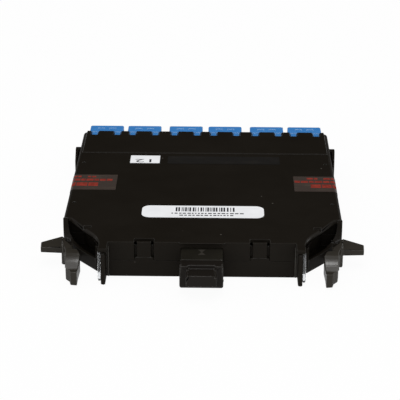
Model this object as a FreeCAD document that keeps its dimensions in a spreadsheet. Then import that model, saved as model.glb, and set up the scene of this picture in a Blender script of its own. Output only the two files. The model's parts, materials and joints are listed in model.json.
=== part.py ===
"""Fibre cassette: a moulded rack module with six duplex LC adapters and one MPO adapter.

Frame: X to the right seen from the MPO end, +Y to the LC end, +Z up, millimetres.
The origin is the centre of the housing's flat underside.
"""

import FreeCAD, Part
import math
import os
import Sketcher

DRIVING_SIZES = {
    # housing
    "width": 97.0,
    "depth": 110.0,
    "height": 12.7,
    "parting": 5.9,
    "floor_thick": 1.5,
    "roof_thick": 1.5,
    "wall": 1.6,
    "edge_round": 1.4,
    "corner_round": 1.0,
    "rim_bevel": 0.5,
    # front of the housing and its raised band
    "bay_depth": 21.8,
    "band_depth": 24.3,
    "band_rise": 0.4,
    "band_inset": 1.4,
    # chamfered rear corners
    "side_end": 34.3,
    "chamfer_out": 46.0,
    "chamfer_in": 34.9,
    "chamfer_rear": 53.3,
    "base_side_end": 34.9,
    "base_chamfer_in": 35.9,
    "base_chamfer_rear": 51.1,
    "pocket_front": 31.0,
    "pocket_depth": 5.4,
    "inner_wall": 1.2,
    "block_half": 31.3,
    "fin_inner": 32.2,
    "fin_thick": 1.5,
    "fin_reach": 7.0,
    "fin_round": 0.6,
    "ear_inner": 31.6,
    "ear_outer": 34.6,
    "ear_reach": 6.0,
    "post_x": 35.4,
    "post_y": 50.9,
    "post_radius": 0.75,
    "post_top": 9.4,
    # snap tabs
    "tab_centre": 19.5,
    "tab_width": 4.8,
    "tab_slot": 0.9,
    "tab_recess": 1.3,
    "tab_window": 3.2,
    # details of the roof
    "lip_half": 7.7,
    "lip_thick": 0.5,
    "lip_reach": 0.6,
    "pit_x": 39.5,
    "pit_y": 42.4,
    "pit_half": 1.25,
    "pit_deep": 0.7,
    "dimple_radius": 0.6,
    # duplex LC adapters
    "adapter_inner_x": 7.8,
    "adapter_middle_x": 24.4,
    "adapter_outer_x": 39.5,
    "adapter_width": 13.0,
    "adapter_fit": 0.05,
    "collar_width": 13.3,
    "collar_reach": 7.0,
    "collar_low": 0.3,
    "collar_high": 12.8,
    "lug_offset": 4.5,
    "lug_width": 2.2,
    "lug_length": 4.1,
    "lug_top": 12.5,
    "lug_room": 0.4,
    "mouth_half": 5.75,
    "mouth_low": 2.2,
    "mouth_high": 10.6,
    "mouth_back": 52.2,
    "port_pitch": 6.25,
    "port_size": 4.7,
    "fibre_height": 4.8,
    "sleeve_outer": 1.62,
    "sleeve_bore": 1.25,
    "sleeve_length": 6.8,
    "sleeve_start": 42.6,
    # shutters
    "hinge_height": 10.0,
    "hinge_back": 1.6,
    "hinge_radius": 0.5,
    "shutter_thick": 0.8,
    "shutter_half": 5.5,
    "running_gap": 0.05,
    # MPO adapter and cap
    "mpo_half": 7.05,
    "mpo_low": 1.55,
    "mpo_high": 10.5,
    "mpo_rear": 64.3,
    "mpo_front": 41.0,
    "mpo_wall": 0.8,
    "cap_half": 7.25,
    "cap_end": 69.4,
    "grip_end": 74.0,
    # latch levers
    "pivot_x": 46.4,
    "pivot_y": 41.6,
    "pivot_radius": 1.0,
    "pivot_head": 0.35,
    "hub_radius": 1.8,
    "lug_low": 0.6,
    "lug_high": 1.6,
    "hub_low": 3.3,
    "hub_high": 5.9,
    "lever_low": 2.0,
    "lever_high": 8.0,
    "knuckle_radius": 1.15,
    "spring_wire": 0.4,
    # fibres
    "tube_diameter": 0.9,
    "fanout_pitch": 1.15,
    "fanout_end": 27.0,
    "boot_end": 19.0,
    # stickers
    "film": 0.1,
}


class Size:
    """A length that carries both its number and the sheet expression behind it."""

    def __init__(self, number, text):
        self.number = number
        self.text = text

    @staticmethod
    def of(other):
        """Any plain number as a Size."""
        return other if isinstance(other, Size) else Size(float(other), repr(float(other)))

    def join(self, sign, other, number):
        """The Size of an expression that combines this one and another."""
        return Size(number, "(%s %s %s)" % (self.text, sign, Size.of(other).text))

    def __add__(self, other):
        return self.join("+", other, self.number + Size.of(other).number)

    def __sub__(self, other):
        return self.join("-", other, self.number - Size.of(other).number)

    def __mul__(self, other):
        return self.join("*", other, self.number * Size.of(other).number)

    def __truediv__(self, other):
        return self.join("/", other, self.number / Size.of(other).number)

    def __radd__(self, other):
        return Size.of(other) + self

    def __rsub__(self, other):
        return Size.of(other) - self

    def __rmul__(self, other):
        return Size.of(other) * self

    def __neg__(self):
        return Size(-self.number, "(0 - %s)" % self.text)


def build_sheet(document):
    """Write the driving sizes to a spreadsheet and give each one back by name."""
    sheet = document.addObject("Spreadsheet::Sheet", "Sizes")
    for row, (name, number) in enumerate(DRIVING_SIZES.items(), start=1):
        sheet.set("A%d" % row, name)
        sheet.set("B%d" % row, str(number))
        sheet.setAlias("B%d" % row, name)
    document.recompute()
    return {name: Size(number, "Sizes." + name) for name, number in DRIVING_SIZES.items()}


document = FreeCAD.newDocument("fibre_cassette")
sizes = build_sheet(document)
sub_parts = []

# Lengths that several pieces share.
half_width = sizes["width"] / 2
front = sizes["depth"] / 2
rear = -sizes["depth"] / 2
roof = sizes["height"] - sizes["roof_thick"]
inner_half = half_width - sizes["wall"]
bay_back = front - sizes["bay_depth"]
adapter_centres = [
    side * sizes[name]
    for side, name in (
        (-1, "adapter_outer_x"),
        (-1, "adapter_middle_x"),
        (-1, "adapter_inner_x"),
        (1, "adapter_inner_x"),
        (1, "adapter_middle_x"),
        (1, "adapter_outer_x"),
    )
]


class Piece:
    """A sub-part made as a PartDesign body from prisms along the axes."""

    def __init__(self, label, x_place=None):
        self.body = document.addObject("PartDesign::Body", label)
        self.body.Label = label
        self.count = 0
        if x_place is not None:
            self.body.setExpression("Placement.Base.x", x_place.text)
        sub_parts.append(self.body)

    def sketch(self, plane, offset):
        """An empty sketch on one of the body's own origin planes, moved along its normal."""
        self.count += 1
        sketch = self.body.newObject("Sketcher::SketchObject", "Outline%d" % self.count)
        role = plane + "_Plane"
        base = [item for item in self.body.Origin.OriginFeatures if item.Role == role][0]
        sketch.AttachmentSupport = (base, [""])
        sketch.MapMode = "FlatFace"
        sketch.setExpression("AttachmentOffset.Base.z", Size.of(offset).text)
        return sketch

    def prism(self, plane, shapes, start, end, removes=False):
        """Add, or remove, the prism of some closed outlines between two coordinates."""
        near, far = Size.of(start), Size.of(end)
        if plane == "XZ":
            offset = -near if removes else -far
        else:
            offset = far if removes else near
        sketch = self.sketch(plane, offset)
        for shape in shapes:
            shape(sketch)
        kind = "PartDesign::Pocket" if removes else "PartDesign::Pad"
        feature = self.body.newObject(kind, ("Cut%d" if removes else "Pad%d") % self.count)
        feature.Profile = sketch
        feature.setExpression("Length", (far - near).text)
        sketch.Visibility = False
        before = self.body.Shape.Volume if self.count > 1 else 0.0
        document.recompute()
        change = feature.Shape.Volume - before
        if (change >= -1e-6) == removes:
            raise RuntimeError("%s of %s changes nothing" % (feature.Name, self.body.Label))
        return feature

    def add(self, plane, shapes, start, end):
        """Add a prism."""
        return self.prism(plane, shapes, start, end)

    def cut(self, plane, shapes, start, end):
        """Remove a prism."""
        return self.prism(plane, shapes, start, end, removes=True)

    def dress(self, kind, chosen, amount):
        """Round or bevel the edges that a test picks."""
        self.count += 1
        base = self.body.Tip
        names = [
            "Edge%d" % (index + 1)
            for index, edge in enumerate(base.Shape.Edges)
            if chosen(edge)
        ]
        if not names:
            raise RuntimeError("no edge to dress on " + self.body.Label)
        feature = self.body.newObject("PartDesign::" + kind, "%s%d" % (kind, self.count))
        feature.Base = (base, names)
        feature.setExpression("Radius" if kind == "Fillet" else "Size", Size.of(amount).text)
        document.recompute()
        return feature

    def round_edges(self, chosen, radius):
        """Round the edges that a test picks."""
        return self.dress("Fillet", chosen, radius)

    def bevel_edges(self, chosen, size):
        """Bevel the edges that a test picks."""
        return self.dress("Chamfer", chosen, size)


def outline(points):
    """A closed polygon whose corners are bound to the sheet."""

    def draw(sketch):
        corners = [(Size.of(a), Size.of(b)) for a, b in points]
        first = sketch.GeometryCount
        total = len(corners)
        for index, (a, b) in enumerate(corners):
            c, d = corners[(index + 1) % total]
            start = FreeCAD.Vector(a.number, b.number, 0)
            stop = FreeCAD.Vector(c.number, d.number, 0)
            sketch.addGeometry(Part.LineSegment(start, stop), False)
        for index, corner in enumerate(corners):
            line = first + index
            sketch.addConstraint(
                Sketcher.Constraint("Coincident", line, 2, first + (index + 1) % total, 1)
            )
            fix_point(sketch, line, 1, corner)

    return draw


def circle(centre, radius):
    """A circle whose centre and radius are bound to the sheet."""

    def draw(sketch):
        x, y, size = Size.of(centre[0]), Size.of(centre[1]), Size.of(radius)
        middle = FreeCAD.Vector(x.number, y.number, 0)
        normal = FreeCAD.Vector(0, 0, 1)
        line = sketch.addGeometry(Part.Circle(middle, normal, size.number), False)
        fix_point(sketch, line, 3, (x, y))
        row = sketch.addConstraint(Sketcher.Constraint("Radius", line, size.number))
        sketch.setExpression("Constraints[%d]" % row, size.text)

    return draw


def facet_ring(centre, radius, sides=8):
    """A regular polygon, corners on the given radius, for small hidden round forms."""
    corners = []
    for index in range(sides):
        angle = 2 * math.pi * (index + 0.5) / sides
        across = Size.of(centre[0]) + Size.of(radius) * round(math.cos(angle), 6)
        up = Size.of(centre[1]) + Size.of(radius) * round(math.sin(angle), 6)
        corners.append((across, up))
    return outline(corners)


def fix_point(sketch, line, end, corner):
    """Hold one point of a sketch at a place given by two sizes."""
    for kind, axis, size in (("DistanceX", -2, corner[0]), ("DistanceY", -1, corner[1])):
        if abs(size.number) < 1e-9:
            sketch.addConstraint(Sketcher.Constraint("PointOnObject", line, end, axis))
            continue
        row = sketch.addConstraint(
            Sketcher.Constraint(kind, -1, 1, line, end, size.number)
        )
        sketch.setExpression("Constraints[%d]" % row, size.text)


def rectangle(x_low, x_high, y_low, y_high):
    """A rectangle between two pairs of coordinates."""
    return outline([(x_low, y_low), (x_high, y_low), (x_high, y_high), (x_low, y_high)])


def symmetric(points):
    """An outline with its right half given from front to rear."""
    return outline(points + [(-x, y) for x, y in reversed([(Size.of(a), b) for a, b in points])])


def mirrored(points):
    """A closed outline on the right and its mirror image on the left."""
    twin = [(-Size.of(x), y) for x, y in reversed(points)]
    return [outline(points), outline(twin)]


def is_upright(edge):
    """Whether an edge runs along Z."""
    start, stop = edge.Vertexes[0].Point, edge.Vertexes[-1].Point
    return edge.Length > 1e-6 and abs(start.x - stop.x) < 1e-6 and abs(start.y - stop.y) < 1e-6


def run_along_y(edge):
    """How far an edge runs along Y."""
    return abs(edge.Vertexes[0].Y - edge.Vertexes[-1].Y)


def lies_at(edge, x=None, y=None, z=None, slack=1e-3):
    """Whether both ends of an edge have the given coordinates, signs apart in X."""
    for vertex in edge.Vertexes:
        if x is not None and abs(abs(vertex.X) - Size.of(x).number) > slack:
            return False
        if y is not None and abs(vertex.Y - Size.of(y).number) > slack:
            return False
        if z is not None and abs(vertex.Z - Size.of(z).number) > slack:
            return False
    return True


# Chamfered corners: lines parallel to the chamfer, a distance inside or outside it.
chamfer_top = (sizes["chamfer_out"], -sizes["side_end"])
chamfer_foot = (sizes["chamfer_in"], -sizes["chamfer_rear"])
CHAMFER_RUN = math.hypot(
    chamfer_top[0].number - chamfer_foot[0].number,
    chamfer_top[1].number - chamfer_foot[1].number,
)
chamfer_slope = (chamfer_top[1] - chamfer_foot[1]) / (chamfer_top[0] - chamfer_foot[0])


def chamfer_at(x, inside=0.0):
    """The point with this X on the line that lies a distance inside the chamfer."""
    stretch = CHAMFER_RUN / (chamfer_top[0].number - chamfer_foot[0].number)
    shift = Size.of(inside) * stretch
    return (x, chamfer_top[1] + (Size.of(x) - chamfer_top[0]) * chamfer_slope + shift)


pocket_in = sizes["pocket_depth"]
cavity_in = sizes["pocket_depth"] + sizes["inner_wall"]
fin_outer = sizes["fin_inner"] + sizes["fin_thick"]
pocket_line_top = 41.6
cavity_front = -sizes["pocket_front"] + sizes["inner_wall"]


def cavity_outline():
    """The inside of the housing, from the adapters' backs to the rear wall."""
    step = rear + sizes["wall"] + sizes["wall"]
    return symmetric(
        [
            (inner_half, bay_back),
            (inner_half, cavity_front),
            (40.9, cavity_front),
            chamfer_at(sizes["fin_inner"], cavity_in),
            (sizes["fin_inner"], step),
            (29.8, step),
            (29.8, rear + sizes["wall"]),
        ]
    )


def adapter_bays():
    """The six bays that hold the LC adapters, open to the front."""
    half = sizes["adapter_width"] / 2 + sizes["adapter_fit"]
    return [rectangle(c - half, c + half, bay_back - 0.1, front + 1) for c in adapter_centres]


def pair(half, low, high, offset):
    """Two equal rectangles, centred a distance to the left and to the right."""
    return [
        rectangle(middle - half, middle + half, low, high) for middle in (-Size.of(offset), offset)
    ]


def pair_of_rounds(offset, y, radius):
    """Two equal round forms, centred a distance to the left and to the right."""
    return [facet_ring((across, y), radius, 16) for across in (-Size.of(offset), offset)]


def build_base():
    """The base: floor, low walls, corner pockets, fins, snap tabs, pivots and side barbs."""
    base = Piece("base_housing")
    parting = sizes["parting"]
    floor = sizes["floor_thick"]
    notch = rear + 1.4
    fin_end = rear - sizes["fin_reach"]
    corner_top = (half_width, -sizes["base_side_end"])
    corner_foot = (sizes["base_chamfer_in"], -sizes["base_chamfer_rear"])
    base.add(
        "XY",
        [
            symmetric(
                [
                    (half_width, front),
                    corner_top,
                    corner_foot,
                    (fin_outer, -sizes["base_chamfer_rear"]),
                    (fin_outer, fin_end),
                    (sizes["fin_inner"], fin_end),
                    (sizes["fin_inner"], notch),
                    (sizes["block_half"], notch),
                    (sizes["block_half"], rear),
                ]
            )
        ],
        0,
        parting,
    )
    base.cut("XY", [cavity_outline()], floor, parting)
    base.cut("XY", adapter_bays(), floor, parting)
    pocket = [
        (inner_half, -sizes["pocket_front"]),
        (inner_half, -34.7),
        (35.4, -49.5),
        (fin_outer, -49.5),
        chamfer_at(fin_outer, pocket_in),
        (pocket_line_top, -sizes["pocket_front"]),
    ]
    base.cut("XY", mirrored(pocket), floor, parting)
    horn = [
        (inner_half, -sizes["side_end"] - 0.05),
        (half_width, -sizes["side_end"] - 0.05),
        corner_top,
        (46.0, -38.1),
        (44.8, -37.1),
    ]
    base.add("XY", mirrored(horn), parting - 0.4, sizes["height"])
    sweep = [
        (-34.5, 13.0),
        (-34.7, 11.4),
        (-34.9, 9.6),
        (-35.2, 8.1),
        (-35.8, 7.0),
        (-36.8, 6.2),
        (-38.4, 5.5),
        (-40.4, 4.8),
        (-42.6, 4.4),
        (-46.0, 4.3),
        (-50.0, 4.4),
        (-51.2, 4.5),
        (-51.2, 13.0),
    ]
    base.cut("YZ", [outline(sweep)], sizes["ear_outer"] + 0.3, half_width + 1)
    base.cut("YZ", [outline(sweep)], -half_width - 1, -sizes["ear_outer"] - 0.3)
    fin = [
        (sizes["fin_inner"], -51.5),
        (fin_outer, -51.5),
        (fin_outer, fin_end),
        (sizes["fin_inner"], fin_end),
    ]
    base.add("XY", mirrored(fin), 4.5, roof)
    posts = [
        facet_ring((across, -sizes["post_y"]), sizes["post_radius"], 12)
        for across in (-sizes["post_x"], sizes["post_x"])
    ]
    base.add("XY", posts, 1.0, sizes["post_top"])
    lug = [
        (44.9, -38.6),
        (46.6, -38.9),
        (48.0, -40.4),
        (48.1, -42.2),
        (47.2, -43.3),
        (45.6, -43.3),
        (43.6, -40.4),
    ]
    base.add("XY", mirrored(lug), sizes["lug_low"], sizes["lug_high"])
    pins = pair_of_rounds(sizes["pivot_x"], -sizes["pivot_y"], sizes["pivot_radius"])
    hub_top = sizes["hub_high"] + sizes["running_gap"]
    base.add("XY", pins, sizes["lug_high"], hub_top)
    head_radius = sizes["pivot_radius"] + sizes["pivot_head"]
    heads = pair_of_rounds(sizes["pivot_x"], -sizes["pivot_y"], head_radius)
    base.add("XY", heads, hub_top, hub_top + 0.4)
    base.cut(
        "XZ",
        [rectangle(-sizes["mpo_half"], sizes["mpo_half"], sizes["mpo_low"] - 0.05, 7)],
        rear - 1,
        rear + sizes["wall"],
    )
    tab_half = sizes["tab_width"] / 2
    foot_half = tab_half + sizes["tab_slot"] - 0.05
    tab_back = rear + sizes["tab_recess"]
    foot_top = 7.0
    base.add("XY", pair(foot_half, rear, tab_back, sizes["tab_centre"]), parting, foot_top)
    tabs = pair(tab_half, rear + 0.1, tab_back - 0.1, sizes["tab_centre"])
    base.add("XY", tabs, foot_top, sizes["height"] - 0.1)
    barb = [
        (half_width, 43.0),
        (half_width + 2.2, 43.0),
        (half_width + 2.2, 41.2),
        (half_width + 1.2, 27.0),
        (half_width + 0.5, 27.0),
        (half_width + 1.0, 40.6),
        (half_width, 40.6),
    ]
    base.add("XY", mirrored(barb), 1.5, 10.6)
    base.add("XY", [rectangle(-7, 7, -31.5, -27.5)], floor, 3.0)
    base.round_edges(
        lambda edge: is_upright(edge) and lies_at(edge, x=half_width, y=front),
        sizes["corner_round"],
    )
    base.round_edges(
        lambda edge: is_upright(edge) and lies_at(edge, y=fin_end) and edge.Length > 9,
        sizes["fin_round"],
    )


def build_cover():
    """The cover: roof with ears and raised front band, skirts, and walls of the pockets."""
    cover = Piece("top_cover")
    parting = sizes["parting"]
    top = sizes["height"]
    ear_end = rear - sizes["ear_reach"]
    rim = [
        chamfer_top,
        (40.8, -43.1),
        (37.2, -48.4),
        (35.3, -52.4),
    ]
    shell = [
        (half_width, front),
        (half_width, -sizes["side_end"]),
        *rim,
        (sizes["ear_outer"], rear - 0.5),
        (sizes["ear_outer"], ear_end),
        (sizes["ear_inner"], ear_end),
        (sizes["ear_inner"], rear),
    ]
    cover.add("XY", [symmetric(shell)], parting, top)
    corners = ((half_width, front), chamfer_top)
    cover.round_edges(
        lambda edge: is_upright(edge) and any(lies_at(edge, x=x, y=y) for x, y in corners),
        sizes["corner_round"],
    )
    cover.round_edges(
        lambda edge: lies_at(edge, z=top) and lies_at(edge, x=half_width), sizes["edge_round"]
    )
    cover.bevel_edges(
        lambda edge: lies_at(edge, z=top)
        and edge.Length > 1.5
        and all(34.9 < abs(vertex.X) < 46.2 and -54 < vertex.Y < -34 for vertex in edge.Vertexes),
        sizes["rim_bevel"],
    )
    cover.add(
        "XY",
        [
            rectangle(
                -half_width + sizes["band_inset"],
                half_width - sizes["band_inset"],
                front - sizes["band_depth"],
                front,
            )
        ],
        top - 0.5,
        top + sizes["band_rise"],
    )
    cover.bevel_edges(
        lambda edge: lies_at(edge, y=front - sizes["band_depth"], z=top + sizes["band_rise"]),
        0.35,
    )
    cover.cut("XY", [cavity_outline()], parting, roof)
    cover.cut("XY", adapter_bays(), parting, roof)
    far_out, far_back = half_width + 10, rear - 20
    corner = [
        (inner_half, -sizes["pocket_front"]),
        (inner_half, -sizes["side_end"]),
        (far_out, -sizes["side_end"]),
        (far_out, far_back),
        (sizes["block_half"], far_back),
        chamfer_at(sizes["block_half"], pocket_in),
        (pocket_line_top, -sizes["pocket_front"]),
    ]
    cover.cut("XY", mirrored(corner), parting, roof)
    cover.cut(
        "XZ",
        [rectangle(-sizes["mpo_half"], sizes["mpo_half"], 3, sizes["mpo_high"] + 0.05)],
        rear - 1,
        rear + sizes["wall"],
    )
    notch_half = sizes["tab_width"] / 2 + sizes["tab_slot"]
    tab_notches = pair(notch_half, rear - 1, rear + sizes["tab_recess"], sizes["tab_centre"])
    cover.cut("XY", tab_notches, parting, top + 1)
    tab_windows = pair(notch_half, rear + 1, rear + sizes["tab_window"], sizes["tab_centre"])
    cover.cut("XY", tab_windows, roof - 0.1, top + 1)
    lug_half = sizes["lug_width"] / 2 + sizes["lug_room"]
    lug_back = front - sizes["lug_length"] - sizes["lug_room"]
    for centre in adapter_centres:
        notches = [
            rectangle(middle - lug_half, middle + lug_half, lug_back, front + 1)
            for middle in (centre - sizes["lug_offset"], centre + sizes["lug_offset"])
        ]
        cover.cut("XY", notches, roof, top + 1)
    lip = rectangle(-sizes["lip_half"], sizes["lip_half"], top - sizes["lip_thick"], top)
    cover.add("XZ", [lip], rear - sizes["lip_reach"], rear + 0.1)
    for across, along in ((45.7, 20.2), (45.9, -20.0)):
        dimples = [facet_ring((side * across, along), sizes["dimple_radius"]) for side in (-1, 1)]
        cover.cut("XY", dimples, top - 0.6, top + 1)
    pit_rear = -sizes["pit_y"] - sizes["pit_half"]
    pits = pair(sizes["pit_half"], pit_rear, pit_rear + sizes["pit_half"] * 2, sizes["pit_x"])
    cover.cut("XY", pits, top - sizes["pit_deep"], top + 1)


def build_adapter(number, centre):
    """One duplex LC adapter: bay body, collar, lugs, mouth, ports and sleeve bores."""
    adapter = Piece("lc_adapter_%d" % number, centre)
    half = sizes["adapter_width"] / 2
    collar = sizes["collar_width"] / 2
    nose = front + sizes["collar_reach"]
    low = sizes["floor_thick"] + sizes["adapter_fit"]
    high = roof - sizes["adapter_fit"]
    port = sizes["port_size"] / 2
    axis = sizes["fibre_height"]
    port_centres = [-sizes["port_pitch"] / 2, sizes["port_pitch"] / 2]
    web_back = sizes["sleeve_start"]
    web_front = web_back + sizes["sleeve_length"]
    back = bay_back + 0.8
    mouth_back = sizes["mouth_back"]
    collar_face = rectangle(-collar, collar, sizes["collar_low"], sizes["collar_high"])
    adapter.add("XZ", [rectangle(-half, half, low, high)], back, front)
    adapter.add("XZ", [collar_face], front, nose)
    adapter.round_edges(lambda edge: is_upright(edge) and lies_at(edge, y=nose), 1.0)
    lug_half = sizes["lug_width"] / 2
    lugs = pair(lug_half, front - sizes["lug_length"], front, sizes["lug_offset"])
    adapter.add("XY", lugs, high, sizes["lug_top"])
    mouth = rectangle(-sizes["mouth_half"], sizes["mouth_half"], sizes["mouth_low"], sizes["mouth_high"])
    adapter.cut("XZ", [mouth], mouth_back, nose + 1)
    bodies = [rectangle(c - port, c + port, axis - port, axis + port) for c in port_centres]
    key_half, key_top = 1.6, 9.9
    keys = [rectangle(c - key_half, c + key_half, axis + port, key_top) for c in port_centres]
    for shapes in (bodies, keys):
        adapter.cut("XZ", shapes, web_front, mouth_back + 0.1)
        adapter.cut("XZ", shapes, back - 1, web_back)
    bores = [facet_ring((c, axis), sizes["sleeve_outer"] / 2) for c in port_centres]
    adapter.cut("XZ", bores, web_back - 0.1, web_front + 0.1)
    hinge = (nose - sizes["hinge_back"], sizes["hinge_height"])
    pin_hole = facet_ring(hinge, (sizes["hinge_radius"] + sizes["running_gap"]) * 1.08)
    adapter.cut("YZ", [pin_hole], -collar - 1, collar + 1)
    marks = pair(1.25, nose - 4.4, nose - 2.6, 2.3)
    adapter.cut("XY", marks, sizes["collar_high"] - 0.25, sizes["collar_high"] + 1)


def build_shutter(number, centre):
    """One shutter door with its hinge pin, hung at the top of the adapter's mouth."""
    shutter = Piece("lc_shutter_%d" % number, centre)
    hinge_y = front + sizes["collar_reach"] - sizes["hinge_back"]
    back_face = hinge_y - sizes["shutter_thick"] / 2
    half = sizes["shutter_half"]
    door_low = sizes["mouth_low"] + 0.25
    door_high = sizes["hinge_height"] + 0.35
    pin_half = sizes["collar_width"] / 2 - 0.2
    door = rectangle(-half, half, door_low, door_high)
    shutter.add("XZ", [door], back_face, back_face + sizes["shutter_thick"])
    pin = facet_ring((hinge_y, sizes["hinge_height"]), sizes["hinge_radius"])
    shutter.add("YZ", [pin], half - 0.3, pin_half)
    shutter.add("YZ", [pin], -pin_half, 0.3 - half)
    bumpers = pair(1.1, 3.2, 6.4, 3.1)
    shutter.add("XZ", bumpers, back_face - 0.3, back_face + 0.1)


def build_sleeves(number, centre):
    """The pair of ceramic alignment sleeves in one adapter."""
    sleeves = Piece("alignment_sleeves_%d" % number, centre)
    start = sizes["sleeve_start"]
    rings = []
    for side in (-1, 1):
        at = (side * sizes["port_pitch"] / 2, sizes["fibre_height"])
        rings.append(facet_ring(at, sizes["sleeve_outer"] / 2))
        rings.append(facet_ring(at, sizes["sleeve_bore"] / 2))
    sleeves.add("XZ", rings, start, start + sizes["sleeve_length"])


def build_plug(number, centre):
    """One simplex LC plug, with its latch arm, ferrule and boot, in an adapter's inner port."""
    plug = Piece("lc_plug_%d" % number, centre)
    axis = sizes["fibre_height"]
    half = sizes["port_size"] / 2
    nose, tail = 42.5, 24.5
    plug.add("XZ", [rectangle(-half, half, axis - half, axis + half)], tail, nose)
    latch = [
        (40.5, axis + half),
        (40.5, axis + half + 0.7),
        (37.0, axis + half + 1.6),
        (28.5, axis + half + 2.4),
        (28.5, axis + half + 1.7),
        (37.5, axis + half),
    ]
    latch_half = 0.9
    plug.add("YZ", [outline(latch)], -latch_half, latch_half)
    plug.add("XZ", [facet_ring((0, axis), sizes["sleeve_bore"] / 2)], nose, nose + 3.4)
    boot_radius = 1.6
    plug.add("XZ", [facet_ring((0, axis), boot_radius)], sizes["boot_end"], tail)


def rounded_path(points, share):
    """Straight runs joined by tangent arcs, each as large as its two runs allow."""
    edges = []
    radii = []
    here = points[0]
    for before, corner, after in zip(points, points[1:], points[2:]):
        back = (before - corner).normalize()
        ahead = (after - corner).normalize()
        half_turn = (math.pi - back.getAngle(ahead)) / 2
        shorter = min((before - corner).Length, (after - corner).Length)
        reach = share * shorter
        radius = reach / math.tan(half_turn)
        start = corner + back * reach
        stop = corner + ahead * reach
        middle_way = (back + ahead).normalize()
        centre = corner + middle_way * (radius / math.cos(half_turn))
        middle = centre - middle_way * radius
        edges.append(Part.LineSegment(here, start).toShape())
        edges.append(Part.Arc(start, middle, stop).toShape())
        radii.append(radius)
        here = stop
    edges.append(Part.LineSegment(here, points[-1]).toShape())
    return Part.Wire(edges), radii


def build_tube(number, port_x, lane):
    """One fibre tube from the fan-out to the boot of its plug."""
    outward = abs(lane)
    start_x = lane * sizes["fanout_pitch"].number
    axis = sizes["fibre_height"].number
    start_y = -sizes["fanout_end"].number
    end_y = sizes["boot_end"].number
    route = [
        FreeCAD.Vector(start_x, start_y, axis),
        FreeCAD.Vector(start_x + 0.01 * lane, start_y + 14.5 - 1.5 * outward, axis),
        FreeCAD.Vector(port_x.number, end_y - 6.0 - 1.3 * outward, axis),
        FreeCAD.Vector(port_x.number, end_y, axis),
    ]
    wire, radii = rounded_path(route, 0.45)
    section = 2.0 * (sizes["tube_diameter"].number / 2) ** 2
    direction = (route[1] - route[0]).normalize()
    half = sizes["tube_diameter"].number / 2
    across = direction.cross(FreeCAD.Vector(0, 0, 1)).normalize()
    corners = [
        route[0] + across * (half * math.cos(step * math.pi / 2))
        + FreeCAD.Vector(0, 0, half * math.sin(step * math.pi / 2))
        for step in range(4)
    ]
    solid = wire.makePipeShell([Part.makePolygon(corners + corners[:1])], True, True)
    tube = document.addObject("Part::Feature", "fibre_tube_%d" % number)
    tube.Label = "fibre_tube_%d" % number
    tube.Shape = solid
    tube.Placement = FreeCAD.Placement()
    ratio = solid.Volume / (section * wire.Length)
    print(tube.Label, "radii", [round(radius, 1) for radius in radii], "volume ratio", round(ratio, 4))
    sub_parts.append(tube)


def build_mpo_adapter():
    """The MPO adapter: rectangular tube with a collar, a keyway and a waist for the ferrules."""
    adapter = Piece("mpo_adapter")
    half = sizes["mpo_half"]
    low, high = sizes["mpo_low"], sizes["mpo_high"]
    back, inner = -sizes["mpo_rear"], -sizes["mpo_front"]
    wall = sizes["mpo_wall"]
    web_rear, web_front = -54.0, -51.2
    adapter.add("XZ", [rectangle(-half, half, low, high)], back, inner)
    adapter.add("XZ", [rectangle(-8.6, 8.6, low, roof - 0.05)], rear + sizes["wall"], -51.9)
    bore = rectangle(-half + wall, half - wall, low + 0.55, high - 0.55)
    adapter.cut("XZ", [bore], back - 1, web_rear)
    adapter.cut("XZ", [bore], web_front, inner + 1)
    adapter.cut("XZ", [rectangle(-4.2, 4.2, 4.1, 7.95)], web_rear - 0.1, web_front + 0.1)
    adapter.round_edges(
        lambda edge: lies_at(edge, x=half, slack=0.01) and run_along_y(edge) > 5, 0.5
    )


def build_mpo_cap():
    """The dust cap: hollow spigot, body with shoulders, and finger grip."""
    cap = Piece("mpo_dust_cap")
    face = -sizes["mpo_rear"] - 0.05
    end = -sizes["cap_end"]
    half = sizes["cap_half"]
    low, high = 2.0, 10.4
    cap.add("XZ", [rectangle(-half, half, low, high)], end, face)
    cap.cut("XZ", [rectangle(-4.4, 4.4, 9.0, high + 1)], end - 1, end + 1.0)
    cap.round_edges(lambda edge: lies_at(edge, y=end, z=low), 1.8)
    cap.round_edges(lambda edge: lies_at(edge, x=half) and run_along_y(edge) > 3, 0.7)
    cap.add("XZ", [rectangle(-5.9, 5.9, 2.5, 9.6)], face, -57.0)
    cap.cut("XZ", [rectangle(-4.9, 4.9, 3.5, 8.6)], -63.0, -56.0)
    grip_half, grip_top = 5.0, 9.0
    grip = rectangle(-grip_half, grip_half, 5.0, grip_top)
    cap.add("XZ", [grip], -sizes["grip_end"], end)
    cap.round_edges(
        lambda edge: lies_at(edge, x=grip_half, z=grip_top) and run_along_y(edge) > 4, 1.1
    )


def build_mpo_plug():
    """The inner MPO plug: housing, ferrule with guide pins, and boot, as three pieces."""
    axis = (sizes["mpo_low"] + sizes["mpo_high"]) / 2
    housing = Piece("mpo_plug_housing")
    housing.add("XZ", [rectangle(-6.2, 6.2, axis - 3.8, axis + 3.8)], -51.1, -37.0)
    housing.cut("XZ", [rectangle(-3.2, 3.2, axis - 1.25, axis + 1.25)], -52, -45)
    ferrule = Piece("mpo_ferrule")
    ferrule.add("XZ", [rectangle(-3.2, 3.2, axis - 1.25, axis + 1.25)], -52.6, -45.0)
    ferrule.add("XZ", [facet_ring((side * 2.3, axis), 0.35) for side in (-1, 1)], -54.4, -52.6)
    boot = Piece("mpo_boot")
    boot.add("XZ", [rectangle(-3.6, 3.6, axis - 2.2, axis + 2.2)], -37.0, -32.0)
    fanout = Piece("fibre_fanout")
    fanout.add("XZ", [rectangle(-7.6, 7.6, 3.0, 8.0)], -32.0, -sizes["fanout_end"])


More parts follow.
